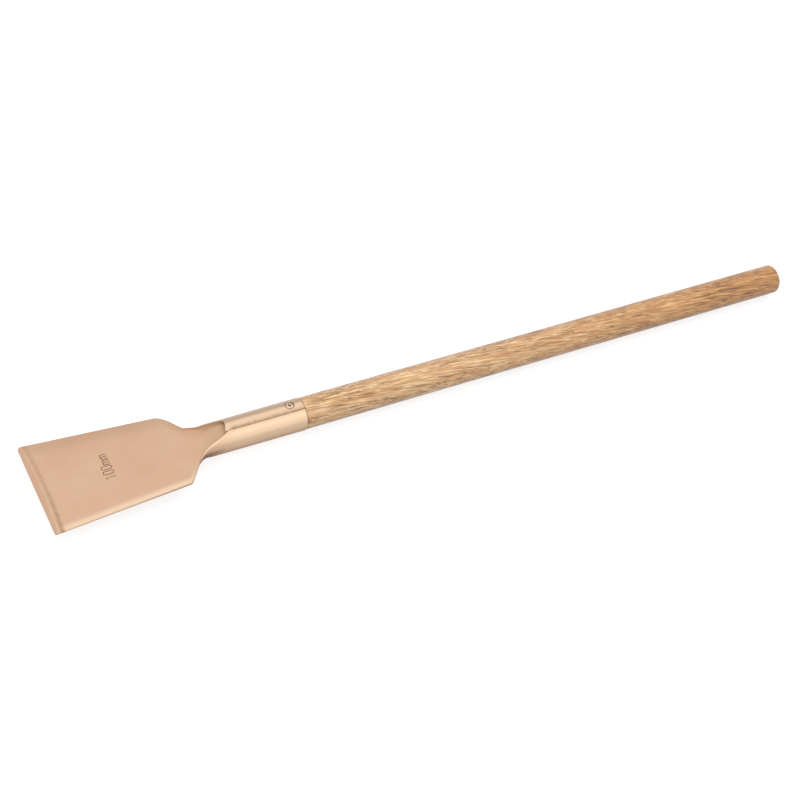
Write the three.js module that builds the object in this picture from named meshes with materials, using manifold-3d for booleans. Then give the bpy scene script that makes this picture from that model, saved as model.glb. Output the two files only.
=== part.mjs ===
// A long-handled scraper: a copper-alloy blade whose neck is rolled up into a socket, a wooden
// handle with its tenon in the socket, and one countersunk screw that holds the two together.
// Millimetres. +X runs from the working edge to the end of the handle, and +Z is the way the
// blade's upper face looks. The parts are laid out from the working edge, with the handle's
// axis as y = 0, z = 0, and the group at the end puts the origin under the middle of the tool.
import * as THREE from "three";
import { mergeVertices } from "three/addons/utils/BufferGeometryUtils.js";
import Module from "manifold-3d";

const wasm = await Module();
wasm.setup();

const overallLength = 800;
const fitClearance = 0.3; // between pieces that bear on each other

// Blade
const edgeWidth = 100; // the working edge
const shoulderWidth = 79.6; // across the two rear corners
const bladeLength = 129; // working edge to rear corners
const shoulderSlope = 1.3; // how steeply the shoulders run in, width per length
const farFrontCorner = 3.5; // radius of a front corner
const nearFrontCorner = 1.5;
const farCornerReach = 9; // rounding of a rear corner
const nearCornerReach = 2.5;
const flareReach = 10.2; // rounding between a shoulder and the neck
const undersideLevel = -1.6; // the blade's flat underside, from the handle's axis
const frontThickness = 1.8; // behind the bevel
const rearThickness = 3; // at the neck
const lipThickness = 0.6; // of the working edge itself
const bevelLength = 5.4; // at mid width
const bevelBow = 1.8; // how much shorter the bevel is at the corners
const sideRoundFront = 6; // width of the rounded long edge, at the working edge
const sideRoundRear = 3; // and at the rear corners
const sideRoundDrop = 0.9;

// Socket
const neckRadius = 15.1; // outside, where the neck starts
const mouthRadius = 15.5; // outside, at the mouth
const socketWall = 2;
const socketReach = 104; // start of the neck to the mouth
const flangeRise = 10; // length over which the neck's sides turn up outside
const insideRise = 22; // and inside
const floorDrop = 36; // length over which the underside sinks to the bottom of the socket
const floorRound = 8; // rounding between the underside and the sides
const webRise = 7; // height of the web inside that closes the socket's front
const webLength = 26; // length over which the floor inside rises to it, up to the socket
const dipLength = 16; // length over which it sinks to the bore behind the web, up to the tenon
const scoopRound = 12; // rounding between the floor inside and the sides, where the scoop starts
const webRound = 5; // and at the web
const scoopLength = 33; // length of the open top in front of the socket
const nearRimCurve = 0.85; // shape of the near rim: 1 is straight, less is fuller
const farRimCurve = 0.69; // the same for the far rim
const farRimHeight = 57; // degrees above level that the far side would reach without closing
const farRimClosing = 8; // length over which the far side closes over the top
const seamTurn = 22; // degrees from the top to the seam, towards the near side
const seamGap = 0.6;

// Handle
const handleDiameter = 30; // at the socket
const handleEndDiameter = 29.5;
const handleEndRound = 2.2;
const handleEndDome = 0.5;
const tenonLength = 54.5;
const tenonChamfer = 1.5;

// Screw: a 4 x 16 countersunk wood screw
const screwHeadDiameter = 8;
const screwDiameter = 4;
const screwLength = 16;
const screwCoreDiameter = 2.6;
const screwThreads = 7;
const screwThreadPitch = 1.6;
const screwPoint = 2.2;
const screwFromMouth = 12.7;
const screwTurn = 6.8; // degrees from the top, away from the seam
const screwHeadSink = 0.3; // the flat head's top, below the crown of the socket
const recessLength = 4.4;
const recessWidth = 0.9;
const recessDepth = 1.4;

const { degToRad, lerp, smoothstep, clamp } = THREE.MathUtils;
const neckStart = bladeLength + (shoulderWidth / 2 - neckRadius) / shoulderSlope;
const flangeStart = neckStart - flangeRise;
const rimStart = flangeStart + flangeRise / 2;
const rimEnd = rimStart + scoopLength;
const socketMouth = neckStart + socketReach;
const tenonEnd = socketMouth - tenonLength;
const screwPlace = socketMouth - screwFromMouth;

// The larger and the smaller of two values, with the change from one to the other rounded.
function blendMax(a, b, reach) {
  return Math.max(a, b) + Math.max(reach - Math.abs(a - b), 0) ** 2 / (4 * reach);
}
const blendMin = (a, b, reach) => -blendMax(-a, -b, reach);

function socketRadius(x) {
  return lerp(neckRadius, mouthRadius, clamp((x - neckStart) / socketReach, 0, 1));
}

// Half the head's width on one side: the blade's side, its shoulder and the neck.
function halfWidth(x, far) {
  const corner = far ? farFrontCorner : nearFrontCorner;
  const cut = corner - Math.sqrt(corner ** 2 - Math.max(corner - x, 0) ** 2);
  const side = lerp(edgeWidth, shoulderWidth, x / bladeLength) / 2 - cut;
  const shoulder = shoulderWidth / 2 - shoulderSlope * (x - bladeLength);
  const outline = blendMin(side, shoulder, far ? farCornerReach : nearCornerReach);
  return blendMax(outline, socketRadius(x), flareReach);
}

// The plate's thickness, thinned by the bevel at its front and rounded at its long edges.
function plateThickness(x, y) {
  const full = lerp(frontThickness, rearThickness, clamp(x / rimStart, 0, 1));
  const bevel = bevelLength - bevelBow * (2 * y / edgeWidth) ** 2;
  const bevelled = lipThickness + (full - lipThickness) * (x / bevel);
  const round = lerp(sideRoundFront, sideRoundRear, clamp(x / bladeLength, 0, 1));
  const inset = clamp((halfWidth(x, y > 0) - Math.abs(y)) / round, 0, 1);
  const drop = sideRoundDrop * (1 - Math.sqrt(1 - (1 - inset) ** 2));
  const upright = smoothstep(x, flangeStart, neckStart);
  return Math.max(Math.min(full, bevelled) - drop * (1 - upright), lipThickness);
}

// How far round the head's section reaches on each side, in degrees from straight below the
// axis: level with it along the blade, then up over the top until the two sides meet.
function rimAngle(x, far) {
  const seam = degToRad(seamTurn);
  const halfGap = seamGap / 2 / (socketRadius(x) - socketWall / 2);
  const along = clamp((x - rimStart) / scoopLength, 0, 1);
  if (!far) {
    return lerp(Math.PI / 2, Math.PI - seam - halfGap, along ** nearRimCurve);
  }
  const open = Math.PI / 2 + degToRad(farRimHeight) * along ** farRimCurve;
  return lerp(open, Math.PI + seam - halfGap, smoothstep(x, rimEnd - farRimClosing, rimEnd));
}

// A point of the head's outer surface, at an angle from straight below the axis.
function outerPoint(x, angle) {
  const width = halfWidth(x, angle > 0);
  const sunk = smoothstep(x, flangeStart, flangeStart + floorDrop);
  const floor = lerp(undersideLevel, -width - floorRound, sunk);
  const trough = blendMax(-width * Math.cos(angle), floor, floorRound);
  return [width * Math.sin(angle), lerp(floor, trough, smoothstep(x, flangeStart, neckStart))];
}

// The inner one, whose sides turn up more slowly. Its floor rises to the web that closes the
// socket's front, and sinks to the bore behind it.
function innerPoint(x, angle) {
  const width = halfWidth(x, angle > 0) - socketWall * smoothstep(x, flangeStart, neckStart);
  const upright = smoothstep(x, flangeStart, flangeStart + insideRise);
  const raised = smoothstep(x, rimEnd - webLength, rimEnd);
  const sunk = smoothstep(x, tenonEnd - dipLength, tenonEnd);
  // A floor above the axis only spans a chord of the round sides, up to this corner.
  const level = lerp(undersideLevel + rearThickness + webRise * raised, -width, sunk);
  const corner = Math.acos(-Math.max(level * upright, 0) / width);
  const turn = Math.abs(angle);
  const across = turn < corner ? Math.sin(corner) * Math.sin((Math.PI / 2) * (turn / corner))
    : Math.sin(turn);
  const y = Math.sign(angle) * width * across;
  const floor = lerp(undersideLevel + plateThickness(x, y) + webRise * raised, -width, sunk);
  const round = lerp(lerp(scoopRound, webRound, raised), 0.01, sunk);
  const trough = blendMax(-width * Math.cos(angle), floor, round);
  return [y, lerp(floor, trough, upright)];
}

function spread(from, to, count) {
  return Array.from({ length: count }, (_, i) => lerp(from, to, i / count));
}

// A closed geometry as a solid that can be cut, and back.
function solidOf(geometry) {
  const bare = geometry.clone();
  bare.deleteAttribute("normal");
  bare.deleteAttribute("uv");
  const merged = mergeVertices(bare, 1e-4);
  return new wasm.Manifold(new wasm.Mesh({
    numProp: 3,
    vertProperties: new Float32Array(merged.attributes.position.array),
    triVerts: new Uint32Array(merged.index.array),
  }));
}

function geometryOf(solid) {
  const mesh = solid.getMesh();
  const geometry = new THREE.BufferGeometry();
  geometry.setAttribute("position", new THREE.BufferAttribute(mesh.vertProperties, 3));
  geometry.setIndex(new THREE.BufferAttribute(mesh.triVerts, 1));
  return geometry;
}

// A profile of radii and heights, turned about the z axis.
function turned(profile, sides) {
  return new THREE.LatheGeometry(profile, sides).rotateX(Math.PI / 2);
}

// The screw's own frame: z = 0 is the top of its head, and its point looks down -z.
const screwSeat = new THREE.Object3D();
screwSeat.rotation.x = -degToRad(screwTurn);
screwSeat.position.x = screwPlace;
screwSeat.translateZ(socketRadius(screwPlace) - screwHeadSink);
screwSeat.updateMatrix();

// The countersunk hole that the screw leaves clear in the socket and in the tenon.
function makeScrewHole() {
  const head = screwHeadDiameter / 2 + fitClearance;
  const shank = screwDiameter / 2 + fitClearance;
  const depth = screwLength + fitClearance;
  const profile = [
    new THREE.Vector2(0, -depth),
    new THREE.Vector2(shank, -depth),
    new THREE.Vector2(shank, shank - head),
    new THREE.Vector2(head, 0),
    new THREE.Vector2(head, socketWall),
    new THREE.Vector2(0, socketWall),
  ];
  return solidOf(turned(profile, 32).applyMatrix4(screwSeat.matrix));
}

function makeScrew() {
  const head = screwHeadDiameter / 2;
  const shank = screwDiameter / 2;
  const threadTop = -screwLength + screwPoint + screwThreads * screwThreadPitch;
  const profile = [new THREE.Vector2(0, 0), new THREE.Vector2(head, 0)];
  profile.push(new THREE.Vector2(shank, shank - head), new THREE.Vector2(shank, threadTop));
  for (let turn = 0; turn < screwThreads; turn += 1) {
    const top = threadTop - turn * screwThreadPitch;
    profile.push(new THREE.Vector2(screwCoreDiameter / 2, top - screwThreadPitch / 3));
    profile.push(new THREE.Vector2(shank, top - screwThreadPitch));
  }
  profile.push(new THREE.Vector2(0, -screwLength));
  let screw = solidOf(turned(profile.reverse(), 24));
  for (const turn of [0, Math.PI / 2]) {
    const wing = new THREE.BoxGeometry(recessLength, recessWidth, 2 * recessDepth);
    screw = screw.subtract(solidOf(wing.rotateZ(turn)));
  }
  return geometryOf(screw);
}

// The head starts as a flat blank, one box of small cells, and every corner of a cell is then
// carried to its place on the rolled head.
function makeHead() {
  const rows = [
    ...spread(0, farFrontCorner, 4),
    ...spread(farFrontCorner, bevelLength, 2),
    ...spread(bevelLength, bladeLength - farCornerReach, 3),
    ...spread(bladeLength - farCornerReach, flangeStart, 8),
    ...spread(flangeStart, rimEnd - farRimClosing, 18),
    ...spread(rimEnd - farRimClosing, rimEnd, 8),
    ...spread(rimEnd, tenonEnd, 7),
    ...spread(tenonEnd, socketMouth, 3),
    socketMouth,
  ];
  const nearCells = 15;
  const farCells = 21;
  const lengthCells = rows.length - 1;
  const girthCells = nearCells + farCells;
  const blank = new THREE.BoxGeometry(lengthCells, girthCells, 1, lengthCells, girthCells, 1);
  blank.translate(lengthCells / 2, (farCells - nearCells) / 2, 0.5);
  const corners = blank.attributes.position;
  for (let i = 0; i < corners.count; i += 1) {
    const x = rows[Math.round(corners.getX(i))];
    const cell = Math.round(corners.getY(i));
    const far = cell > 0;
    const angle = (cell / (far ? farCells : nearCells)) * rimAngle(x, far);
    const point = corners.getZ(i) > 0.5 ? innerPoint : outerPoint;
    corners.setXYZ(i, x, ...point(x, angle));
  }
  return geometryOf(solidOf(blank).subtract(makeScrewHole()));
}

// The handle and its tenon are turned in one, and then laid along x.
function makeHandle() {
  const tenonRadius = (x) => socketRadius(x) - socketWall - fitClearance;
  const shoulder = socketMouth + fitClearance;
  const endRadius = handleEndDiameter / 2;
  const endFace = overallLength - handleEndDome;
  const profile = new THREE.Path();
  profile.moveTo(0, tenonEnd);
  profile.lineTo(tenonRadius(tenonEnd) - tenonChamfer, tenonEnd);
  profile.lineTo(tenonRadius(tenonEnd), tenonEnd + tenonChamfer);
  profile.lineTo(tenonRadius(socketMouth), shoulder);
  profile.lineTo(handleDiameter / 2, shoulder);
  profile.lineTo(endRadius, endFace - handleEndRound);
  profile.quadraticCurveTo(endRadius, endFace, endRadius - handleEndRound, endFace);
  profile.quadraticCurveTo(endRadius / 2, overallLength, 0, overallLength);
  const blank = turned(profile.getPoints(5), 48).rotateY(Math.PI / 2);
  return geometryOf(solidOf(blank).subtract(makeScrewHole()));
}

function makePiece(name, geometry, look) {
  geometry.computeVertexNormals();
  const piece = new THREE.Mesh(geometry, new THREE.MeshStandardMaterial(look));
  piece.name = name;
  return piece;
}

const head = makePiece("scraper_head", makeHead(),
  { color: 0xd8b397, roughness: 0.42, metalness: 1 });
const handle = makePiece("handle", makeHandle(),
  { color: 0xc9a273, roughness: 0.6, metalness: 0 });
const screw = makePiece("screw", makeScrew(),
  { color: 0xd9bd84, roughness: 0.35, metalness: 1 });
screw.applyMatrix4(screwSeat.matrix);

const tool = new THREE.Group();
const lowest = Math.max(mouthRadius, neckRadius, handleDiameter / 2);
tool.position.set(-overallLength / 2, 0, lowest);
tool.add(head, handle, screw);

export default tool;
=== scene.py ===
# A long-handled scraper: a bronze head rolled up into a socket, a wooden handle and one screw.
# Every piece is laid out in millimetres from the working edge, with the handle's axis as y = 0,
# z = 0, and place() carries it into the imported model's frame.
from math import acos, atan2, copysign, cos, degrees, pi, radians, sin, sqrt

import bmesh
import bpy
from mathutils import Matrix, Vector


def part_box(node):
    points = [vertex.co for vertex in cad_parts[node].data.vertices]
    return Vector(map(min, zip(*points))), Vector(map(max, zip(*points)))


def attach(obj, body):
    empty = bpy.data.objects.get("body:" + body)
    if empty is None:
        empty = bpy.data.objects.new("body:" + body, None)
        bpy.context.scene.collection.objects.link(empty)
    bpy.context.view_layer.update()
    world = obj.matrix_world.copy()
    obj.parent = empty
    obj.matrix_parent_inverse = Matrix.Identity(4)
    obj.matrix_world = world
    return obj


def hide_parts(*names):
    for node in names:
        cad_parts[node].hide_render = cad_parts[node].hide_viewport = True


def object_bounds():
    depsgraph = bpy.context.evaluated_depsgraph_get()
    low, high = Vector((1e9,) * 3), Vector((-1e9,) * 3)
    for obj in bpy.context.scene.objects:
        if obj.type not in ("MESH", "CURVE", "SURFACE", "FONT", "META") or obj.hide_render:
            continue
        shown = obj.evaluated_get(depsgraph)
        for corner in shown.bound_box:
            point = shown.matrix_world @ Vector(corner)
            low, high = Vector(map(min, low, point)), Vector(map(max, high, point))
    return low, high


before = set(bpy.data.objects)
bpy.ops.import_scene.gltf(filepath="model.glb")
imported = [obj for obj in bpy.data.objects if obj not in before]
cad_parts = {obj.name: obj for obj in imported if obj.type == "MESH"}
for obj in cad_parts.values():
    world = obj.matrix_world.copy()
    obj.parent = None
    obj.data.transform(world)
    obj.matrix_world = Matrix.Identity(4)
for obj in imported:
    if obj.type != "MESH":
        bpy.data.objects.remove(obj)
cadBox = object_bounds()

mm = 0.001
headLow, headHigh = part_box("scraper_head")
handleLow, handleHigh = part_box("handle")
workingEdge = headLow.x
axisHeight = (handleLow.z + handleHigh.z) / 2
toolLength = (handleHigh.x - workingEdge) / mm


def place(x, y, z):
    return Vector((workingEdge + x * mm, y * mm, axisHeight + z * mm))


# camera

view = {
    "azimuth": -37.37,      # degrees, 0 looks along +y
    "elevation": 48.58,
    "roll": 13.54,
    "distance": 1545.9,     # mm from the point looked at
    "lookAt": (346.84, -16.5, 0.36),
    "lens": 74.3,           # on a 36 mm sensor
}


def makeCamera(v):
    data = bpy.data.cameras.new("mainCamera")
    data.lens = v["lens"]
    data.clip_end = 20
    camera = bpy.data.objects.new("mainCamera", data)
    bpy.context.scene.collection.objects.link(camera)
    turn = Matrix.Rotation(radians(v["azimuth"]), 4, "Z")
    turn = turn @ Matrix.Rotation(radians(90 - v["elevation"]), 4, "X")
    turn = turn @ Matrix.Rotation(radians(v["roll"]), 4, "Z")
    back = turn @ Vector((0, 0, v["distance"] * mm))
    camera.matrix_world = Matrix.Translation(place(*v["lookAt"]) + back) @ turn
    bpy.context.scene.camera = camera


makeCamera(view)
print("camera placed")


# shared helpers

def lerp(a, b, t):
    return a + (b - a) * t


def clamp(t):
    return min(max(t, 0.0), 1.0)


def ease(x, start, end):
    t = clamp((x - start) / (end - start))
    return t * t * (3 - 2 * t)


# the larger of two values, with the change from one to the other rounded
def blendMax(a, b, reach):
    return max(a, b) + max(reach - abs(a - b), 0) ** 2 / (4 * reach)


def blendMin(a, b, reach):
    return -blendMax(-a, -b, reach)


def colour(hexText):
    parts = [int(hexText[i:i + 2], 16) / 255 for i in (0, 2, 4)]
    linear = [p / 12.92 if p <= 0.04045 else ((p + 0.055) / 1.055) ** 2.4 for p in parts]
    return (*linear, 1.0)


# adds a node, sets its properties, and links or fills its inputs by name or number
def addNode(tree, kind, inputs=None, **settings):
    node = tree.nodes.new(kind)
    for name, value in settings.items():
        setattr(node, name, value)
    for socket, value in (inputs or {}).items():
        if isinstance(value, bpy.types.NodeSocket):
            tree.links.new(value, node.inputs[socket])
        else:
            node.inputs[socket].default_value = value
    return node


def newMaterial(name):
    material = bpy.data.materials.new(name)
    material.use_nodes = True
    material.node_tree.nodes.clear()
    return material, material.node_tree


def finishMaterial(tree, shader):
    addNode(tree, "ShaderNodeOutputMaterial", {"Surface": shader.outputs[0]})


# links a mesh as a piece of the tool, smooth except across edges sharper than the angle
def addPiece(name, bm, materials, sharpAngle=35):
    mesh = bpy.data.meshes.new(name)
    bm.normal_update()
    bm.to_mesh(mesh)
    bm.free()
    for material in materials:
        mesh.materials.append(material)
    mesh.polygons.foreach_set("use_smooth", [True] * len(mesh.polygons))
    mesh.set_sharp_from_angle(angle=radians(sharpAngle))
    piece = bpy.data.objects.new(name, mesh)
    bpy.context.scene.collection.objects.link(piece)
    return piece


# turns a profile of (radius, height) pairs about the z axis
def turnProfile(profile, sides):
    bm = bmesh.new()
    rings = []
    for radius, height in profile:
        if radius == 0:
            rings.append([bm.verts.new((0, 0, height))])
            continue
        angles = [2 * pi * i / sides for i in range(sides)]
        rings.append([bm.verts.new((radius * cos(a), radius * sin(a), height)) for a in angles])
    for low, high in zip(rings, rings[1:]):
        for i in range(sides):
            j = (i + 1) % sides
            corners = [low[i % len(low)], low[j % len(low)]]
            corners += [high[j % len(high)], high[i % len(high)]]
            bm.faces.new(list(dict.fromkeys(corners)))
    return bm


# cuts one closed mesh out of a piece; the cut takes the cutter's material
def cutOut(piece, cutterMesh, material):
    cutterMesh.materials.clear()
    cutterMesh.materials.append(material)
    cutter = bpy.data.objects.new("cutter", cutterMesh)
    bpy.context.scene.collection.objects.link(cutter)
    modifier = piece.modifiers.new("cut", "BOOLEAN")
    modifier.object = cutter
    modifier.operation = "DIFFERENCE"
    modifier.solver = "EXACT"
    modifier.use_self = True
    modifier.material_mode = "TRANSFER"
    depsgraph = bpy.context.evaluated_depsgraph_get()
    result = bpy.data.meshes.new_from_object(piece.evaluated_get(depsgraph))
    piece.modifiers.clear()
    piece.data = result
    bpy.data.objects.remove(cutter)


# materials

# aluminium bronze, forged and then tumbled to a satin skin: a pinkish tan metal that blurs what it
# reflects, with a fine matt grain, slow waves left by the hammer and slightly paler worn patches;
# hands keep the socket smoother and it is painted paler as painted light, painted highlights lie on
# the near edge, the rims and the bevel's ridge, painted brown shade lies in the seam, the hollow,
# under the neck and along the near side, the ground bevel is a little darker, and inside the scoop
# the forging's dull skin is left
satin = {
    "grainSize": 1.2, "waveSize": 26, "patchSize": 38, "shadeNoiseSize": 5,      # mm
    "darker": "DDB496", "paler": "E4BEA0", "handled": "F5D3B2", "paintedHighlight": "F5D6B8",
    "skin": "D0AE8C", "brownShade": "7C5236",
    "handledFrom": 140, "handledTo": 190,           # mm from the working edge
    "roughness": 0.32, "handledRoughness": 0.24, "grainRoughness": 0.08,
    "skinRoughness": 0.75, "skinMetallic": 0.3,
    "waveStrength": 0.2, "waveHeight": 0.4, "grainStrength": 0.05, "grainHeight": 0.04,
}


def satinBronze(b=satin):
    material, tree = newMaterial("satinBronze")
    spot = addNode(tree, "ShaderNodeTexCoord").outputs["Object"]
    grain = addNode(tree, "ShaderNodeTexNoise",
                    {"Vector": spot, "Scale": 1 / (b["grainSize"] * mm), "Detail": 3.0,
                     "Roughness": 0.6})
    waves = addNode(tree, "ShaderNodeTexNoise",
                    {"Vector": spot, "Scale": 1 / (b["waveSize"] * mm), "Detail": 1.0})
    patches = addNode(tree, "ShaderNodeTexNoise",
                      {"Vector": spot, "Scale": 1 / (b["patchSize"] * mm), "Detail": 4.0,
                       "Roughness": 0.55})
    tint = addNode(tree, "ShaderNodeValToRGB", {"Fac": patches.outputs["Fac"]})
    tint.color_ramp.elements[0].position = 0.30
    tint.color_ramp.elements[0].color = colour(b["darker"])
    tint.color_ramp.elements[1].position = 0.72
    tint.color_ramp.elements[1].color = colour(b["paler"])
    along = addNode(tree, "ShaderNodeSeparateXYZ", {"Vector": spot})
    handled = addNode(tree, "ShaderNodeMapRange",
                      {"Value": along.outputs["X"], "From Min": place(b["handledFrom"], 0, 0).x,
                       "From Max": place(b["handledTo"], 0, 0).x},
                      interpolation_type="SMOOTHSTEP")

    def tinted(amount, under, hexText):
        mixed = addNode(tree, "ShaderNodeMix", {0: amount, 6: under, 7: colour(hexText)},
                        data_type="RGBA")
        return mixed.outputs[2]

    def painted(name):
        return addNode(tree, "ShaderNodeAttribute", attribute_name=name).outputs["Fac"]

    skin, paintedHighlight = painted("skin"), painted("paintedHighlight")
    # the painted brown shade is broken up by noise along its edges
    uneven = addNode(tree, "ShaderNodeTexNoise",
                     {"Vector": spot, "Scale": 1 / (b["shadeNoiseSize"] * mm), "Detail": 3.0,
                      "Roughness": 0.6})
    share = addNode(tree, "ShaderNodeMapRange",
                    {"Value": uneven.outputs["Fac"], "From Min": 0.3, "From Max": 0.6,
                     "To Min": 0.6, "To Max": 1.1})
    brownShade = addNode(tree, "ShaderNodeMath", {0: painted("paintedShade"), 1: share.outputs["Result"]},
                    operation="MULTIPLY", use_clamp=True)
    # from the neck on, the metal is painted paler as painted light on the socket
    bright = tinted(handled.outputs["Result"], tint.outputs["Color"], b["handled"])
    # painted highlights on the near edge, the rims and the bevel's ridge
    bright = tinted(paintedHighlight, bright, b["paintedHighlight"])
    # painted brown shade laid over the metal's colour
    whole = tinted(brownShade.outputs["Value"], tinted(skin, bright, b["skin"]), b["brownShade"])
    smooth = addNode(tree, "ShaderNodeMapRange",
                     {"Value": handled.outputs["Result"], "To Min": b["roughness"],
                      "To Max": b["handledRoughness"]})
    blurred = addNode(tree, "ShaderNodeMath",
                      {0: grain.outputs["Fac"], 1: b["grainRoughness"], 2: smooth.outputs["Result"]},
                      operation="MULTIPLY_ADD")
    rough = addNode(tree, "ShaderNodeMapRange",
                    {"Value": skin, "To Min": blurred.outputs["Value"],
                     "To Max": b["skinRoughness"]})
    metal = addNode(tree, "ShaderNodeMapRange",
                    {"Value": skin, "To Min": 1.0, "To Max": b["skinMetallic"]})
    slow = addNode(tree, "ShaderNodeBump",
                   {"Height": waves.outputs["Fac"], "Strength": b["waveStrength"],
                    "Distance": b["waveHeight"] * mm})
    fine = addNode(tree, "ShaderNodeBump",
                   {"Height": grain.outputs["Fac"], "Strength": b["grainStrength"],
                    "Distance": b["grainHeight"] * mm, "Normal": slow.outputs["Normal"]})
    shader = addNode(tree, "ShaderNodeBsdfPrincipled",
                     {"Base Color": whole, "Metallic": metal.outputs["Result"],
                      "Roughness": rough.outputs["Result"], "Normal": fine.outputs["Normal"]})
    finishMaterial(tree, shader)
    return material


# the same bronze inside cuts and stamped marks, dull and painted dark brown as the shade in them
def recessShadeBronze(name, deep, shallow):
    material, tree = newMaterial(name)
    spot = addNode(tree, "ShaderNodeTexCoord").outputs["Object"]
    paintedShade = addNode(tree, "ShaderNodeTexNoise",
                    {"Vector": spot, "Scale": 1 / (2.5 * mm), "Detail": 3.0})
    tint = addNode(tree, "ShaderNodeValToRGB", {"Fac": paintedShade.outputs["Fac"]})
    tint.color_ramp.elements[0].color = colour(deep)
    tint.color_ramp.elements[1].color = colour(shallow)
    shader = addNode(tree, "ShaderNodeBsdfPrincipled",
                     {"Base Color": tint.outputs["Color"], "Metallic": 0.4, "Roughness": 0.65})
    finishMaterial(tree, shader)
    return material


# free-cutting brass, turned and lightly polished: a pale yellow metal with fine scratches
def turnedBrass():
    material, tree = newMaterial("turnedBrass")
    spot = addNode(tree, "ShaderNodeTexCoord").outputs["Object"]
    scratches = addNode(tree, "ShaderNodeTexNoise",
                        {"Vector": spot, "Scale": 1 / (0.5 * mm), "Detail": 3.0})
    rough = addNode(tree, "ShaderNodeMapRange",
                    {"Value": scratches.outputs["Fac"], "To Min": 0.25, "To Max": 0.42})
    dents = addNode(tree, "ShaderNodeBump",
                    {"Height": scratches.outputs["Fac"], "Strength": 0.2, "Distance": 0.05 * mm})
    shader = addNode(tree, "ShaderNodeBsdfPrincipled",
                     {"Base Color": colour("F6D8BA"), "Metallic": 1.0,
                      "Roughness": rough.outputs["Result"], "Normal": dents.outputs["Normal"]})
    finishMaterial(tree, shader)
    return material


# oak, turned, sanded and lacquered: pale tan near the socket and orange brown toward the end,
# with dark pores in crowds and paler fibres between them, all running a few degrees off the
# handle's length, under a clear coat; fibres raised by sanding give its sides a faint sheen
oakTones = {            # near the socket and at the handle's end
    "early": ("BF8E54", "A0672A"), "late": ("DAAE7C", "C48A46"), "fibre": ("F2D4A8", "E6B070"),
    "pore": ("7C5226", "643E14"), "vein": "B98750",
    "turnsFrom": 330, "turnsTo": 800,       # mm from the working edge
}


def lacqueredOak(k=oakTones):
    material, tree = newMaterial("lacqueredOak")
    spot = addNode(tree, "ShaderNodeTexCoord").outputs["Object"]
    # the grain leaves the handle's axis by a few degrees
    slanted = addNode(tree, "ShaderNodeMapping",
                      {"Vector": spot, "Rotation": (0, radians(-4), radians(5))}).outputs["Vector"]

    # noise drawn out along the grain, cut off between two levels
    def streaks(long, wide, low, high, detail=2.0, shift=0.0, wander=0.0):
        scale = (1 / (long * mm), 1 / (wide * mm), 1 / (wide * mm))
        mapping = addNode(tree, "ShaderNodeMapping",
                          {"Vector": slanted, "Scale": scale, "Location": (shift, shift, shift)})
        noise = addNode(tree, "ShaderNodeTexNoise",
                        {"Vector": mapping.outputs["Vector"], "Scale": 1.0, "Detail": detail,
                         "Roughness": 0.6, "Distortion": wander})
        cut = addNode(tree, "ShaderNodeMapRange",
                      {"Value": noise.outputs["Fac"], "From Min": low, "From Max": high})
        return cut.outputs["Result"]

    def times(a, b):
        return addNode(tree, "ShaderNodeMath", {0: a, 1: b}, operation="MULTIPLY").outputs[0]

    def mixed(amount, under, over, how="MIX"):
        return addNode(tree, "ShaderNodeMix", {0: amount, 6: under, 7: over}, data_type="RGBA",
                       blend_type=how).outputs[2]

    alongX = addNode(tree, "ShaderNodeSeparateXYZ", {"Vector": spot})
    towardEnd = addNode(tree, "ShaderNodeMapRange",
                        {"Value": alongX.outputs["X"], "From Min": place(k["turnsFrom"], 0, 0).x,
                         "From Max": place(k["turnsTo"], 0, 0).x},
                        interpolation_type="SMOOTHSTEP").outputs["Result"]
    early, late, pale, poreTone = [mixed(towardEnd, *map(colour, k[name]))
                                   for name in ("early", "late", "fibre", "pore")]
    body = mixed(streaks(70, 5, 0.36, 0.62, detail=3.0), early, late)
    body = mixed(times(streaks(24, 0.9, 0.46, 0.66, shift=3.1), 0.4), body, colour(k["vein"]),
                 "MULTIPLY")
    body = mixed(times(streaks(26, 1.2, 0.50, 0.61, shift=7.7, wander=0.5), 0.75), body, pale)
    # real pores are 0.3 mm wide, drawn at about 1 mm so that they show
    crowd = streaks(60, 5, 0.40, 0.54, shift=1.3)
    pores = times(streaks(21, 1.0, 0.52, 0.57, shift=5.9, wander=0.7), crowd)
    dark = mixed(times(pores, 0.85), body, poreTone)
    relief = addNode(tree, "ShaderNodeBump",
                     {"Height": pores, "Strength": 0.3, "Distance": 0.15 * mm}, invert=True)
    shader = addNode(tree, "ShaderNodeBsdfPrincipled",
                     {"Base Color": dark, "Roughness": 0.5, "IOR": 1.5,
                      "Coat Weight": 0.7, "Coat Roughness": 0.3, "Coat IOR": 1.5,
                      "Sheen Weight": 0.28, "Sheen Roughness": 0.45,
                      "Sheen Tint": colour("DCE8FF"),
                      "Normal": relief.outputs["Normal"]})
    finishMaterial(tree, shader)
    return material


bronze = satinBronze()
# bronze painted dark brown as the shade in the stamped strokes and the screw's recess
recessShade = recessShadeBronze("recessShadeBronze", "6A4E38", "8A6A52")
# the same bronze painted near black as the shade in the gap round the screw
gapShade = recessShadeBronze("gapShadeCut", "2E1E12", "4A3220")
brass = turnedBrass()
oak = lacqueredOak()
print("materials made")


# head

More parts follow.
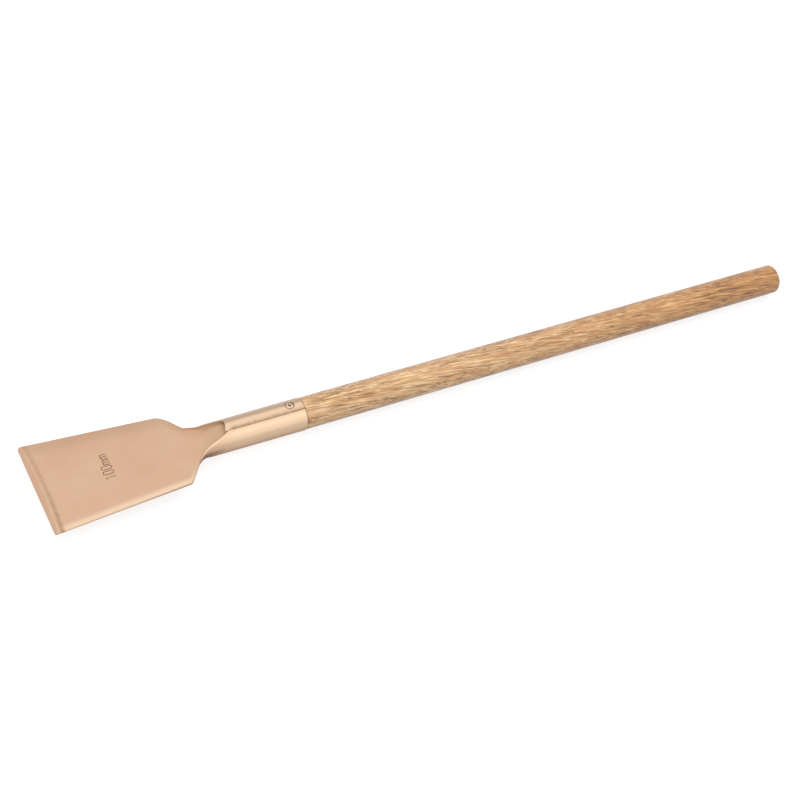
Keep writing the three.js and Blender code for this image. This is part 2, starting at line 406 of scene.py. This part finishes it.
head = {
    "edgeWidth": 100, "shoulderWidth": 79.6, "bladeLength": 129,
    "shoulderSlope": 1.3, "farCornerReach": 9, "nearCornerReach": 2.5, "flareReach": 10.2,
    "farCornerRound": 3.5, "nearCornerRound": 1.5,
    "underside": -1.6, "frontThickness": 1.8, "rearThickness": 3.0, "lipThickness": 0.6,
    "crown": 1.1, "crownRise": (0, 20), "crownFall": (110, 140),
    "bevelLength": 5.4, "bevelBow": 1.8,
    "hollowWidth": 6.4, "hollowDepth": 0.34, "hollowTaper": 0.35,
    "nearSideReach": 6.5, "farSideReach": 14.0, "sideFallFront": 0.5, "sideFallRear": 0.36,
    "neckRadius": 15.1, "mouthRadius": 15.5, "wall": 2.0, "neckToMouth": 104,
    "flangeRise": 10, "floorDrop": 36, "floorRound": 8,
    "insideRise": 22,       # length over which the inside turns up into the neck's sides
    "webStart": 150, "webTop": 178, "webRise": 8, "webRound": 10,
    "dipStart": 181.5, "dipLength": 16, "dipRound": 12,
    "scoopLength": 33, "nearRimCurve": 1.1, "nearRimEase": 0.6, "farRimCurve": 1.45,
    "farRimTop": 57, "farRimLean": 3.0, "farRimRound": 6,       # farRimTop in degrees above level
    "seamTurn": 22, "seamGap": 0.25,
}
# how far each edge is rounded into its surface, and which share of the wall it falls there
rounding = {
    "rimReach": 2.2, "frontRimReach": 5, "nearRimTurn": (40, 64), "farRimTurn": (57, 115),
    "rimSlant": 0.48, "rimOpening": (30, 60),       # rimSlant in mm across the rim per mm along x
    "plateReach": 0.8, "plateFall": 0.3, "neckFall": 0.6,
    "innerReach": 1.0, "innerFall": 0.25, "farInnerReach": 5.0, "farInnerFall": 0.5,
    "grooveReach": 4.5, "grooveFall": 0.42, "grooveStart": (0, 7),
    "seamReach": 1.3, "seamFall": 0.3,
    "mouthReach": 1.2, "mouthInnerFall": 0.25, "mouthOuterFall": 0.4, "mostFall": 0.7,
}
shoulderDrop = head["shoulderWidth"] / 2 - head["neckRadius"]
neckStart = head["bladeLength"] + shoulderDrop / head["shoulderSlope"]
flangeStart = neckStart - head["flangeRise"]
rimStart = flangeStart + head["flangeRise"] / 2
socketMouth = neckStart + head["neckToMouth"]


def socketRadius(x, h=head):
    return lerp(h["neckRadius"], h["mouthRadius"], clamp((x - neckStart) / h["neckToMouth"]))


def halfWidth(x, far=True, h=head):
    side = lerp(h["edgeWidth"], h["shoulderWidth"], x / h["bladeLength"]) / 2
    shoulder = h["shoulderWidth"] / 2 - h["shoulderSlope"] * (x - h["bladeLength"])
    corner = h["farCornerRound"] if far else h["nearCornerRound"]
    side -= corner - sqrt(corner ** 2 - max(corner - x, 0) ** 2)
    reach = h["farCornerReach"] if far else h["nearCornerReach"]
    return blendMax(blendMin(side, shoulder, reach), socketRadius(x), h["flareReach"])


# the plate between its flat underside and its slightly crowned face, with the bevel and the
# hollow behind it
def plateThickness(x, y, h=head):
    offCentre = (2 * y / h["edgeWidth"]) ** 2
    bevel = h["bevelLength"] - h["bevelBow"] * offCentre
    full = lerp(h["frontThickness"], h["rearThickness"], clamp(x / rimStart))
    onFace = ease(x, *h["crownRise"]) * (1 - ease(x, *h["crownFall"]))
    full += h["crown"] * (0.5 - offCentre) * onFace
    if x < bevel:
        return lerp(h["lipThickness"], full, x / bevel)
    hollow = h["hollowWidth"] * (1 - h["hollowTaper"] * offCentre)
    across = clamp((x - bevel) / hollow)
    return full - h["hollowDepth"] * sin(pi * across) ** 2


# where the head's open front edge lies along x, for an angle from straight below the axis
def rimPlace(angle, h=head):
    far = angle > 0
    turned = degrees(abs(angle)) - 90
    if turned <= 0:
        return rimStart
    top = h["farRimTop"] if far else 90 - h["seamTurn"]
    if not far:
        share = (turned / top) ** h["nearRimCurve"]
        return rimStart + h["scoopLength"] * lerp(share, ease(share, 0, 1), h["nearRimEase"])
    rim = rimStart + h["scoopLength"] * (turned / top) ** h["farRimCurve"]
    lean = h["farRimLean"] * (max(0, turned - top) / (90 + h["seamTurn"] - top)) ** 2
    return blendMin(rim, rimStart + h["scoopLength"] - lean, h["farRimRound"])


# the underside drops from the plate to the bottom of the socket
def outerSection(x, angle, h=head):
    width = halfWidth(x, angle > 0)
    sunk = ease(x, flangeStart, flangeStart + h["floorDrop"])
    floor = lerp(h["underside"], -width - h["floorRound"], sunk)
    trough = blendMax(-width * cos(angle), floor, h["floorRound"])
    return Vector((x, width * sin(angle), lerp(floor, trough, ease(x, flangeStart, neckStart))))


# the inside turns up more slowly; its floor rises to a web that closes the socket's front, and
# behind the web it drops to the bore
def innerSection(x, angle, h=head):
    width = halfWidth(x, angle > 0) - h["wall"] * ease(x, flangeStart, neckStart)
    upright = ease(x, flangeStart, flangeStart + h["insideRise"])
    raised = ease(x, h["webStart"], h["webTop"])
    sunk = ease(x, h["dipStart"], h["dipStart"] + h["dipLength"])
    # a floor above the axis only spans a chord of the round sides
    level = lerp(h["underside"] + h["rearThickness"] + h["webRise"] * raised, -width, sunk)
    corner = acos(-max(level * upright, 0) / width)
    y = width * sin(angle)
    if abs(angle) < corner:
        y = copysign(width * sin(corner) * sin(pi / 2 * abs(angle) / corner), angle)
    plate = h["underside"] + plateThickness(x, y)
    floor = lerp(plate + h["webRise"] * raised, -width, sunk)
    roundness = lerp(h["dipRound"], h["webRound"], raised) * (1 - sunk) + 0.01
    trough = blendMax(-width * cos(angle), floor, roundness)
    return Vector((x, y, lerp(floor, trough, upright)))


# how far a rounded edge has fallen at a distance from it: 1 at the edge, 0 past its reach
def fallen(distance, reach):
    return 1 - sqrt(1 - (1 - clamp(distance / reach)) ** 2)


# how far a place of the upper face falls toward the blade's sides
def sideFall(x, far, fromSide, h=head):
    reach = h["farSideReach"] if far else h["nearSideReach"]
    fall = lerp(h["sideFallFront"], h["sideFallRear"], clamp(x / h["bladeLength"]))
    return fall * clamp(1 - fromSide / reach) ** 1.5


# distance around the socket from the edge of the seam
def seamDistance(x, angle, h=head):
    seamAngle = pi + radians(h["seamTurn"]) * (1 if angle > 0 else -1)
    return (seamAngle - abs(angle)) * socketRadius(x)


# the inner and the outer surface of the head, with all their edges rounded
def headPair(x, angle, r=rounding):
    inner, outer = innerSection(x, angle), outerSection(x, angle)
    far = angle > 0
    upright = ease(x, flangeStart, neckStart)
    sideways = max(0, abs(degrees(angle)) - 90)
    openness = ease(sideways, *r["rimOpening"]) if far else 0
    fromRim = max(0, x - rimPlace(angle))
    fromSide = halfWidth(x, far) * (1 - abs(sin(angle))) if sideways == 0 else 0
    edge = fromSide + fromRim * lerp(r["rimSlant"], 1, openness)
    turn = r["farRimTurn"] if far else r["nearRimTurn"]
    rimReach = lerp(r["rimReach"], r["frontRimReach"], ease(sideways, *turn))
    if far:
        innerRound = r["farInnerFall"] * fallen(edge, r["farInnerReach"])
    else:
        innerRound = r["innerFall"] * fallen(edge, r["innerReach"])
    innerFall = lerp(sideFall(x, far, fromSide), innerRound, upright)
    outerReach = lerp(r["plateReach"], rimReach, upright)
    outerFall = lerp(r["plateFall"], r["neckFall"], upright) * fallen(edge, outerReach)
    if sideways > 0:
        fromSeam = seamDistance(x, angle)
        if far:
            groove = clamp(1 - fromSeam / r["grooveReach"]) ** 2
            outerFall += r["grooveFall"] * groove * ease(x - rimPlace(angle), *r["grooveStart"])
        else:
            outerFall += r["seamFall"] * fallen(fromSeam, r["seamReach"])
    mouth = fallen(socketMouth - x, r["mouthReach"])
    innerFall = max(innerFall, r["mouthInnerFall"] * mouth)
    outerFall = min(max(outerFall, r["mouthOuterFall"] * mouth), r["mostFall"])
    return inner.lerp(outer, innerFall), outer.lerp(inner, outerFall)


# amounts from 0 to 1 of the dull skin, painted shade and painted highlights, and the distances in mm
# or turns in degrees over which they come and go
finish = {
    "scoopSkin": (136, 166), "skinFromNearRim": (0, 6),
    "rimWidth": 1.5, "farRimSkin": 0.9, "farRimSkinTurn": (50, 70),
    "nearRimShine": 0.8, "nearRimShineFade": (1.5, 5),
    "farEdgeShine": 0.7, "farEdgeTurn": (60, 80), "farEdgeFade": (2.5, 5.5),
    "bevelDarker": 0.12, "bevelDarkerFade": (-1.6, -0.4), "hollowShade": (0.22, 0.5),
    "ridgeShine": 0.25, "ridgeReach": 1.2,
    "onBlade": (5, 12), "offBlade": (124, 140),
    "sideShineRise": (0.3, 1.4), "sideShineFade": (2.5, 7.5),
    "sideShade": 0.3, "sideShadeFade": (0.1, 0.8),
    "seamShade": 0.9, "seamShadeReach": 4.6, "seamShadeStart": (1, 9),
    "nearSeamShade": 0.3, "nearSeamReach": 0.7,
    "underShade": 0.3, "underShadeTurn": (-25, 25), "underShadeStart": (150, 175),
    "flankShade": 0.75, "flankReach": 6, "flankTurn": (0, 15), "flankLow": -60,
    "flankStart": (60, 130), "flankEnd": (152, 182),
}


# painted shade and painted highlights of the blade's upper face: the ground bevel a little darker,
# painted shade in the hollow and at the near edge, painted highlights on the bevel's ridge and along
# the near edge
def faceFinish(x, angle, fromSide, h=head, f=finish):
    offCentre = (halfWidth(x) * sin(angle) / h["edgeWidth"] * 2) ** 2
    bevel = h["bevelLength"] - h["bevelBow"] * offCentre
    across = clamp((x - bevel) / h["hollowWidth"])
    nearness = clamp(-sin(angle))
    # the ground bevel is a little darker
    paintedShade = f["bevelDarker"] * (1 - ease(x - bevel, *f["bevelDarkerFade"]))
    # painted shade in the hollow behind the bevel, deeper toward the near side
    paintedShade += lerp(*f["hollowShade"], nearness) * sin(pi * across) ** 2
    # a painted highlight along the bevel's ridge on the near side
    paintedHighlight = f["ridgeShine"] * nearness * clamp(1 - abs(x - bevel) / f["ridgeReach"])
    if angle <= 0:
        # a painted highlight band along the near side's rounded edge
        side = ease(fromSide, *f["sideShineRise"]) * (1 - ease(fromSide, *f["sideShineFade"]))
        paintedHighlight = max(paintedHighlight, side * ease(x, *f["onBlade"]) * (1 - ease(x, *f["offBlade"])))
        # painted shade at the very edge of the near side
        paintedShade += f["sideShade"] * (1 - ease(fromSide, *f["sideShadeFade"]))
    return paintedShade, paintedHighlight


# painted shade and painted highlights of the socket's outer side, near its rims and its seam
def socketFinish(x, angle, sideways, fromRim, paintedHighlight, f=finish):
    fromSeam = seamDistance(x, angle)
    if angle > 0:
        # painted brown shade beside the far side of the seam
        paintedShade = f["seamShade"] * clamp(1 - fromSeam / f["seamShadeReach"]) ** 1.6
        paintedShade *= ease(fromRim, *f["seamShadeStart"])
        # a painted highlight on the far flange's front edge
        shine = f["farEdgeShine"] * ease(sideways, *f["farEdgeTurn"])
        return paintedShade, shine * (1 - ease(fromRim, *f["farEdgeFade"])) * (1 - paintedShade)
    # painted shade along the near flange's seam edge, and a painted highlight along the near rim
    paintedShade = f["nearSeamShade"] * clamp(1 - fromSeam / f["nearSeamReach"])
    return paintedShade, max(paintedHighlight, f["nearRimShine"] * (1 - ease(fromRim, *f["nearRimShineFade"])))


# how the surface is finished at a place of the head, each from 0 to 1: the forging's dull skin,
# painted brown shade, and painted highlight
def headFinish(x, angle, inner, f=finish):
    far, sideways = angle > 0, degrees(abs(angle)) - 90
    fromSide = halfWidth(x, far) * (1 - abs(sin(angle))) if sideways <= 0 else 0
    fromRim = x - rimPlace(angle)
    skin = ease(x, *f["scoopSkin"]) if inner else 0
    paintedShade = paintedHighlight = 0.0
    if sideways > 0 and fromRim < f["rimWidth"]:
        skin = f["farRimSkin"] * (1 - ease(sideways, *f["farRimSkinTurn"])) if far else 0
        # a painted highlight on the near rim
        paintedHighlight = 0 if far else f["nearRimShine"]
    if inner and sideways > 0 and not far:
        skin *= ease(fromRim, *f["skinFromNearRim"])
    if inner and sideways <= 0:
        paintedShade, paintedHighlight = faceFinish(x, angle, fromSide)
    if not inner and sideways > 0:
        paintedShade, paintedHighlight = socketFinish(x, angle, sideways, fromRim, paintedHighlight)
    # painted brown shade under the neck and along the near shoulder
    if not inner and sideways <= f["underShadeTurn"][1] and x > f["underShadeStart"][0]:
        under = 1 - ease(sideways, *f["underShadeTurn"])
        paintedShade += f["underShade"] * under * ease(x, *f["underShadeStart"])
    if not inner and not far and f["flankLow"] < sideways <= f["flankTurn"][1]:
        low = clamp(1 - fromSide / f["flankReach"]) * (1 - ease(sideways, *f["flankTurn"]))
        along = ease(x, *f["flankStart"]) * (1 - ease(x, *f["flankEnd"]))
        paintedShade = max(paintedShade, f["flankShade"] * low * along)
    return {"skin": skin, "paintedShade": clamp(paintedShade), "paintedHighlight": clamp(paintedHighlight)}


def spread(start, end, count):
    return [lerp(start, end, i / count) for i in range(count)]


# angles of the points across the head, closer together beside the seam
def headColumns(h=head):
    seamSteps = [0, 0.15, 0.4, 0.8, 1.3, 2.0, 3.0, 4.5, 6.0]
    halfGap = h["seamGap"] / 2 / h["neckRadius"]
    near = [-(pi - radians(h["seamTurn"]) - halfGap - s / h["neckRadius"]) for s in seamSteps]
    far = [pi + radians(h["seamTurn"]) - halfGap - s / h["neckRadius"] for s in seamSteps]
    quarter = pi / 2
    return (near[:-1] + spread(near[-1], -quarter, 14) + spread(-quarter, quarter, 56)
            + spread(quarter, far[-1], 28) + far[::-1])


# places of the points along the plate, closer together where the bevel and the shoulders bend
def plateRows():
    rows = [0, 0.2, 0.5, 1, 2, 3, 4] + spread(4.6, 11.6, 14)
    return rows + spread(12, 120, 12) + spread(120, rimStart, 26) + [rimStart]


# distances behind the rim, closer together beside it and at the mouth
def neckRows():
    steps = [0.1, 0.3, 0.6, 1.0, 1.5, 2.1, 2.8, 3.6, 4.5, 5.5, 6.6, 7.8, 9.1]
    steps += spread(10.5, 50, 30) + spread(50, 107, 12)
    steps += [107, 107.5, 108, 108.4, 108.7, 108.9, 109]
    return [step * (socketMouth - rimStart) / steps[-1] for step in steps]


def makeHeadMesh():
    onPlate, behindRim = plateRows(), neckRows()
    span = socketMouth - rimStart
    columns = headColumns()
    quarter = pi / 2 + 1e-6     # past this angle a point is on a rolled-up side
    bm = bmesh.new()
    finishes = {name: bm.verts.layers.float.new(name) for name in ("skin", "paintedShade", "paintedHighlight")}
    grid = {}
    for r, row in enumerate(onPlate + behindRim):
        flat = r < len(onPlate)
        for c, angle in enumerate(columns):
            x = row if flat else rimStart + row
            if abs(angle) > quarter:
                if r < len(onPlate) - 1:
                    continue
                x = lerp(rimPlace(angle), socketMouth, 0 if flat else row / span)
            inner, outer = headPair(x, angle)
            grid[r, c] = (bm.verts.new(place(*inner)), bm.verts.new(place(*outer)))
            for vert, side in zip(grid[r, c], (True, False)):
                for name, amount in headFinish(x, angle, side).items():
                    vert[finishes[name]] = amount
    # faces of both surfaces; an edge met once only is on the head's rim, and is closed by a wall
    rims = {}
    for (r, c) in list(grid):
        cell = [(r, c), (r + 1, c), (r + 1, c + 1), (r, c + 1)]
        if not all(k in grid for k in cell):
            continue
        bm.faces.new([grid[k][0] for k in cell])
        bm.faces.new([grid[k][1] for k in reversed(cell)])
        for a, b in zip(cell, cell[1:] + cell[:1]):
            rims[a, b] = (b, a) not in rims
            if not rims[a, b]:
                rims[b, a] = False
    for (a, b), free in rims.items():
        if free:
            bm.faces.new([grid[b][0], grid[a][0], grid[a][1], grid[b][1]])
    return bm


scraperHead = addPiece("scraper_head_forged", makeHeadMesh(), [bronze, recessShade, gapShade])
print("head rolled")


# size mark: strokes pressed into the face, read from the handle's end

sizeMark = {
    "baseline": 69.0,       # from the working edge
    "digitHeight": 9.5, "letterHeight": 6.0,
    "digitWidth": 3.6, "letterWidth": 5.0,
    "strokeRadius": 0.42, "strokeLift": 0.12,       # its middle lies above the face
    "glyphs": [("1", -9.5), ("0", -4.3), ("0", 1.2), ("m", 6.9), ("m", 13.4)],
}


# each glyph's strokes as lists of (along, up) points from its centre line
def glyphStrokes(glyph, m=sizeMark):
    if glyph == "1":
        top = m["digitHeight"]
        return [[(-1.5, top - 2.2), (0, top), (0, 0)]]
    if glyph == "0":
        half, top = m["digitWidth"] / 2, m["digitHeight"]
        # two upright sides joined by half rounds
        over = [(half * cos(t), top - half + half * sin(t)) for t in spread(0, pi, 12)]
        under = [(half * cos(t), half + half * sin(t)) for t in spread(pi, 2 * pi, 12)]
        return [over + [(-half, top - half)] + under + [(half, half), (half, top - half)]]
    half, tall = m["letterWidth"] / 2, m["letterHeight"]
    strokes = [[(-half, 0), (-half, tall)]]
    for start in (-half, 0):
        radius = half / 2
        turns = [pi * i / 8 for i in range(9)]
        arch = [(start + radius - radius * cos(t), tall - radius + radius * sin(t)) for t in turns]
        strokes.append(arch + [(start + half, 0)])
    return strokes


def markCutter(m=sizeMark):
    curve = bpy.data.curves.new("sizeMark", "CURVE")
    curve.dimensions = "3D"
    curve.bevel_depth = m["strokeRadius"] * mm
    curve.bevel_resolution = 2
    curve.use_fill_caps = True
    for glyph, middle in m["glyphs"]:
        for stroke in glyphStrokes(glyph):
            spline = curve.splines.new("POLY")
            spline.points.add(len(stroke) - 1)
            for point, (along, up) in zip(spline.points, stroke):
                x, y = m["baseline"] - up, middle + along
                level = head["underside"] + plateThickness(x, y)
                point.co = (*place(x, y, level + m["strokeLift"]), 1)
    holder = bpy.data.objects.new("sizeMark", curve)
    bpy.context.scene.collection.objects.link(holder)
    depsgraph = bpy.context.evaluated_depsgraph_get()
    mesh = bpy.data.meshes.new_from_object(holder.evaluated_get(depsgraph))
    bpy.data.objects.remove(holder)
    return mesh


# the strokes' faces take the bronze painted dark brown as the shade in the grooves
cutOut(scraperHead, markCutter(), recessShade)
print("size mark pressed")


# screw

screw = {
    "fromMouth": 12.7, "turn": 6.8, "sink": 0.3,
    "headDiameter": 7.5, "shankDiameter": 4, "length": 16, "headEdge": 0.25, "crown": 0.12,
    "coreDiameter": 2.6, "threads": 7, "pitch": 1.6, "point": 2.2,
    "recessSpan": 4.8, "recessWidth": 1.0, "recessDepth": 1.1, "recessTurn": 5,
    "recessTop": 0.6, "footSpan": 0.6, "footWidth": 0.7,        # the foot as shares of the top
    "rimDrop": 0.05, "rimBevel": 0.15,
    "holeClearance": 0.75, "shankClearance": 0.3, "holeTop": 3,
}
screwPlace = socketMouth - screw["fromMouth"]
# the screw's own frame: z = 0 is the top of its head
screwSeat = (Matrix.Translation(place(screwPlace, 0, 0))
             @ Matrix.Rotation(-radians(screw["turn"]), 4, "X")
             @ Matrix.Translation((0, 0, (socketRadius(screwPlace) - screw["sink"]) * mm))
             @ Matrix.Scale(mm, 4))


def meshInSeat(name, bm):
    mesh = bpy.data.meshes.new(name)
    bmesh.ops.recalc_face_normals(bm, faces=bm.faces)
    bm.to_mesh(mesh)
    bm.free()
    mesh.transform(screwSeat)
    return mesh


def screwHole(s=screw):
    wide = s["headDiameter"] / 2 + s["holeClearance"]
    narrow = s["shankDiameter"] / 2 + s["shankClearance"]
    bottom = -s["length"] - s["shankClearance"]
    above = s["holeTop"]
    profile = [(0, bottom), (narrow, bottom), (narrow, narrow - wide), (wide, 0), (wide, above),
               (0, above)]
    return meshInSeat("screwHole", turnProfile(profile, 64))


# one wing of the cross recess, narrower at its foot
def recessWing(turn, s=screw):
    bm = bmesh.new()
    bmesh.ops.create_cube(bm, size=1)
    for vert in bm.verts:
        deep = vert.co.z < 0
        vert.co.x *= s["recessSpan"] * (s["footSpan"] if deep else 1)
        vert.co.y *= s["recessWidth"] * (s["footWidth"] if deep else 1)
        vert.co.z = -s["recessDepth"] if deep else s["recessTop"]
    bmesh.ops.rotate(bm, verts=bm.verts, matrix=Matrix.Rotation(turn, 3, "Z"))
    return meshInSeat("recessWing", bm)


def makeScrew(s=screw):
    rim, shank, core = s["headDiameter"] / 2, s["shankDiameter"] / 2, s["coreDiameter"] / 2
    threadTop = -s["length"] + s["point"] + s["threads"] * s["pitch"]
    profile = [(0, -s["length"])]
    for turn in reversed(range(s["threads"])):
        top = threadTop - turn * s["pitch"]
        profile += [(shank, top - s["pitch"]), (core, top - s["pitch"] / 3)]
    profile += [(shank, threadTop), (shank, shank - rim + s["headEdge"])]
    profile += [(rim, -s["headEdge"]), (rim, -s["rimDrop"])]
    profile += [(rim - s["rimBevel"], s["crown"] / 3)]
    profile += [(rim / 2, s["crown"]), (0, s["crown"] * 1.3)]
    bm = turnProfile(profile, 64)
    bmesh.ops.transform(bm, matrix=screwSeat, verts=bm.verts)
    bmesh.ops.recalc_face_normals(bm, faces=bm.faces)
    piece = addPiece("screw_countersunk", bm, [brass, recessShade])
    # the cross recess takes the bronze painted dark brown as the shade in it
    for turn in (0, pi / 2):
        cutOut(piece, recessWing(turn + radians(s["recessTurn"])), recessShade)
    return piece


brassScrew = makeScrew()
# the hole's faces around the screw head are painted near black as the shade in the gap
cutOut(scraperHead, screwHole(), gapShade)
print("screw driven")


# handle

handle = {
    "diameter": 30, "endDiameter": 29.5, "endRound": 2.2, "endDome": 0.5,
    "tenonLength": 54.5, "tenonChamfer": 1.5, "clearance": 0.3, "shoulderEase": 0.4,
}


def makeHandle(d=handle):
    bore = socketRadius(socketMouth) - head["wall"] - d["clearance"]
    tenonEnd = socketMouth - d["tenonLength"]
    boreEnd = socketRadius(tenonEnd) - head["wall"] - d["clearance"]
    shoulder = socketMouth + d["clearance"]
    radius, endRadius, easing = d["diameter"] / 2, d["endDiameter"] / 2, d["shoulderEase"]
    endFace = toolLength - d["endDome"]
    profile = [(0, tenonEnd), (boreEnd - d["tenonChamfer"], tenonEnd),
               (boreEnd, tenonEnd + d["tenonChamfer"]), (bore, shoulder),
               (radius - easing, shoulder),
               (radius - easing * 0.3, shoulder + easing * 0.3), (radius, shoulder + easing)]
    for x in spread(shoulder + 8, endFace - d["endRound"], 30):
        along = (x - shoulder) / (endFace - shoulder)
        profile.append((lerp(radius, endRadius, along), x))
    for i in range(9):
        turn = pi / 2 * i / 8
        profile.append((endRadius - d["endRound"] * (1 - cos(turn)),
                        endFace - d["endRound"] * (1 - sin(turn))))
    flat = endRadius - d["endRound"]
    for share in (0.75, 0.5, 0.25):
        profile.append((flat * share, endFace + d["endDome"] * (1 - share ** 2)))
    profile.append((0, toolLength))
    bm = turnProfile(profile, 96)
    alongX = Matrix(((0, 0, 1, 0), (1, 0, 0, 0), (0, 1, 0, 0), (0, 0, 0, 1)))
    toFrame = Matrix.Translation(place(0, 0, 0)) @ Matrix.Scale(mm, 4) @ alongX
    bmesh.ops.transform(bm, matrix=toFrame, verts=bm.verts)
    bmesh.ops.recalc_face_normals(bm, faces=bm.faces)
    piece = addPiece("handle_turned", bm, [oak])
    cutOut(piece, screwHole(), oak)
    return piece


oakHandle = makeHandle()
print("handle turned")

# the cuts have made new edges, so the sharp ones are marked again
for piece, node, slot in ((scraperHead, "scraper_head", "bronze"), (oakHandle, "handle", "wood"),
                          (brassScrew, "screw", "screw_brass")):
    piece.data.set_sharp_from_angle(angle=radians(35))
    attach(piece, "root")
    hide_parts(node)


# floor, lamp and world

stage = {
    "floorSize": 12.0,
    "seenGlow": 0.74, "seenColour": "A8A8A8",       # what the camera sees of the floor
    "mirrorGlow": 0.26, "mirrorColour": "A4A4A4",   # what metal sees of it
    "bounceColour": "B4B4B4",                       # what lights the tool from below
    "brightSide": (0.0, -0.5, 0.866), "edgeFrom": -0.06, "edgeTo": 0.26,
    "dimmest": 0.5, "brightest": 1.0, "horizon": 0.76, "horizonColour": "E0E8FF",
    "farSideFrom": 0.2, "farSideTo": 0.6, "wallTop": 0.28, "wallFoot": 0.12,
    "lampFrom": (0.15, -1.05, 1.25), "lampLength": 2.4, "lampWidth": 0.8, "lampPower": 1.2,
    "overheadFrom": (0.1, 0.35, 1.5), "overheadPower": 8.5,
}


def paleFloor(s=stage):
    material, tree = newMaterial("paleFloor")
    material.cycles.emission_sampling = "NONE"
    path = addNode(tree, "ShaderNodeLightPath")
    mirrored = addNode(tree, "ShaderNodeMath",
                       {0: path.outputs["Is Glossy Ray"], 1: path.outputs["Is Transmission Ray"]},
                       operation="MAXIMUM")

    def glowing(glow, plain):
        shade = addNode(tree, "ShaderNodeBsdfDiffuse", {"Color": colour(plain)})
        light = addNode(tree, "ShaderNodeEmission", {"Color": (1, 1, 1, 1), "Strength": glow})
        return addNode(tree, "ShaderNodeAddShader", {0: shade.outputs[0], 1: light.outputs[0]})

    bounce = addNode(tree, "ShaderNodeBsdfDiffuse", {"Color": colour(s["bounceColour"])})
    forMetal = glowing(s["mirrorGlow"], s["mirrorColour"])
    forCamera = glowing(s["seenGlow"], s["seenColour"])
    mixed = addNode(tree, "ShaderNodeMixShader",
                    {0: mirrored.outputs[0], 1: bounce.outputs[0], 2: forMetal.outputs[0]})
    mixed = addNode(tree, "ShaderNodeMixShader",
                    {0: path.outputs["Is Camera Ray"], 1: mixed.outputs[0],
                     2: forCamera.outputs[0]})
    finishMaterial(tree, mixed)
    return material


# a white room, brightest overhead on the near side and dim on the far side, where a pale band
# runs low along the wall
def makeWorld(s=stage):
    world = bpy.data.worlds.new("studio")
    bpy.context.scene.world = world
    world.use_nodes = True
    tree = world.node_tree
    tree.nodes.clear()
    toward = addNode(tree, "ShaderNodeTexCoord").outputs["Generated"]
    facing = addNode(tree, "ShaderNodeVectorMath", {0: toward, 1: s["brightSide"]},
                     operation="DOT_PRODUCT")
    room = addNode(tree, "ShaderNodeMapRange",
                   {"Value": facing.outputs["Value"],
                    "From Min": s["edgeFrom"], "From Max": s["edgeTo"],
                    "To Min": s["dimmest"], "To Max": s["brightest"]},
                   interpolation_type="SMOOTHSTEP")
    height = addNode(tree, "ShaderNodeSeparateXYZ", {"Vector": toward})
    farSide = addNode(tree, "ShaderNodeMapRange",
                      {"Value": height.outputs["Y"], "From Min": s["farSideFrom"],
                       "From Max": s["farSideTo"]})
    low = addNode(tree, "ShaderNodeMapRange",
                  {"Value": height.outputs["Z"], "From Min": s["wallTop"],
                   "From Max": s["wallFoot"]},
                  interpolation_type="SMOOTHSTEP")
    wall = addNode(tree, "ShaderNodeMath",
                   {0: farSide.outputs["Result"], 1: low.outputs["Result"]}, operation="MULTIPLY")
    strength = addNode(tree, "ShaderNodeMapRange",
                       {"Value": wall.outputs["Value"], "To Min": room.outputs["Result"],
                        "To Max": s["horizon"]})
    path = addNode(tree, "ShaderNodeLightPath")
    white = addNode(tree, "ShaderNodeBackground", {"Color": (1, 1, 1, 1), "Strength": 1.0})
    tone = addNode(tree, "ShaderNodeMix",
                   {0: wall.outputs["Value"], 6: (1, 1, 1, 1), 7: colour(s["horizonColour"])},
                   data_type="RGBA")
    light = addNode(tree, "ShaderNodeBackground",
                    {"Color": tone.outputs[2], "Strength": strength.outputs["Result"]})
    mixed = addNode(tree, "ShaderNodeMixShader",
                    {0: path.outputs["Is Camera Ray"], 1: light.outputs[0], 2: white.outputs[0]})
    addNode(tree, "ShaderNodeOutputWorld", {"Surface": mixed.outputs[0]})


def addSoftbox(name, spot, power, s=stage):
    data = bpy.data.lights.new(name, "AREA")
    data.shape = "RECTANGLE"
    data.size, data.size_y = s["lampLength"], s["lampWidth"]
    data.energy = power
    lamp = bpy.data.objects.new(name, data)
    bpy.context.scene.collection.objects.link(lamp)
    lamp.location = spot
    lamp.rotation_euler = (atan2(-spot[1], spot[2]), 0, 0)
    return lamp


def makeStage(s=stage):
    bm = bmesh.new()
    bmesh.ops.create_grid(bm, x_segments=1, y_segments=1, size=s["floorSize"] / 2)
    floor = addPiece("floor", bm, [paleFloor()])
    floor.location.z = cadBox[0][2] - 0.2 * mm
    # a long softbox beside the tool, and one above it that metal does not mirror
    addSoftbox("softbox", s["lampFrom"], s["lampPower"])
    overhead = addSoftbox("overhead", s["overheadFrom"], s["overheadPower"])
    overhead.visible_glossy = False
    makeWorld()


makeStage()
bpy.context.scene.view_settings.view_transform = "Standard"
print("stage lit")
